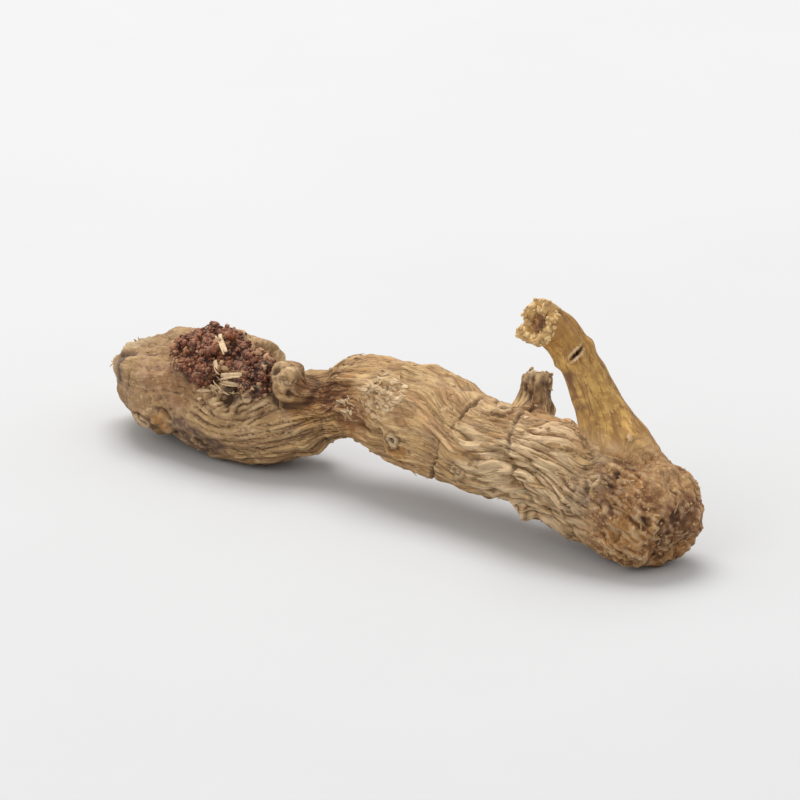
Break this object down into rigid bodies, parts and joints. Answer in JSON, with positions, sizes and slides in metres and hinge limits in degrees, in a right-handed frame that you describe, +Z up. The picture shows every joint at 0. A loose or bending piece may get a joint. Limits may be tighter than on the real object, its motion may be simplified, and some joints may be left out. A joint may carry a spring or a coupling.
{
  "type": "dried solomons seal root",
  "caption": "Dried Solomon's seal rhizome with a crusted stem scar on its swollen joint, a furrowed stem and a cut side shoot, lying on its underside.",
  "frame": {"origin": "middle of the bounding box at the surface the root lies on", "axes": "+X along the root from its broken old end to its growing end, +Z up, the crusted stem scar and the shoot's cut end face -Y"},
  "size_m": [0.0766, 0.0148, 0.0266],
  "materials": {
    "dried_root": "dull dried skin"
  },
  "bodies": {
    "root": {"rhizome": "dried_root"}
  },
  "joints": []
}
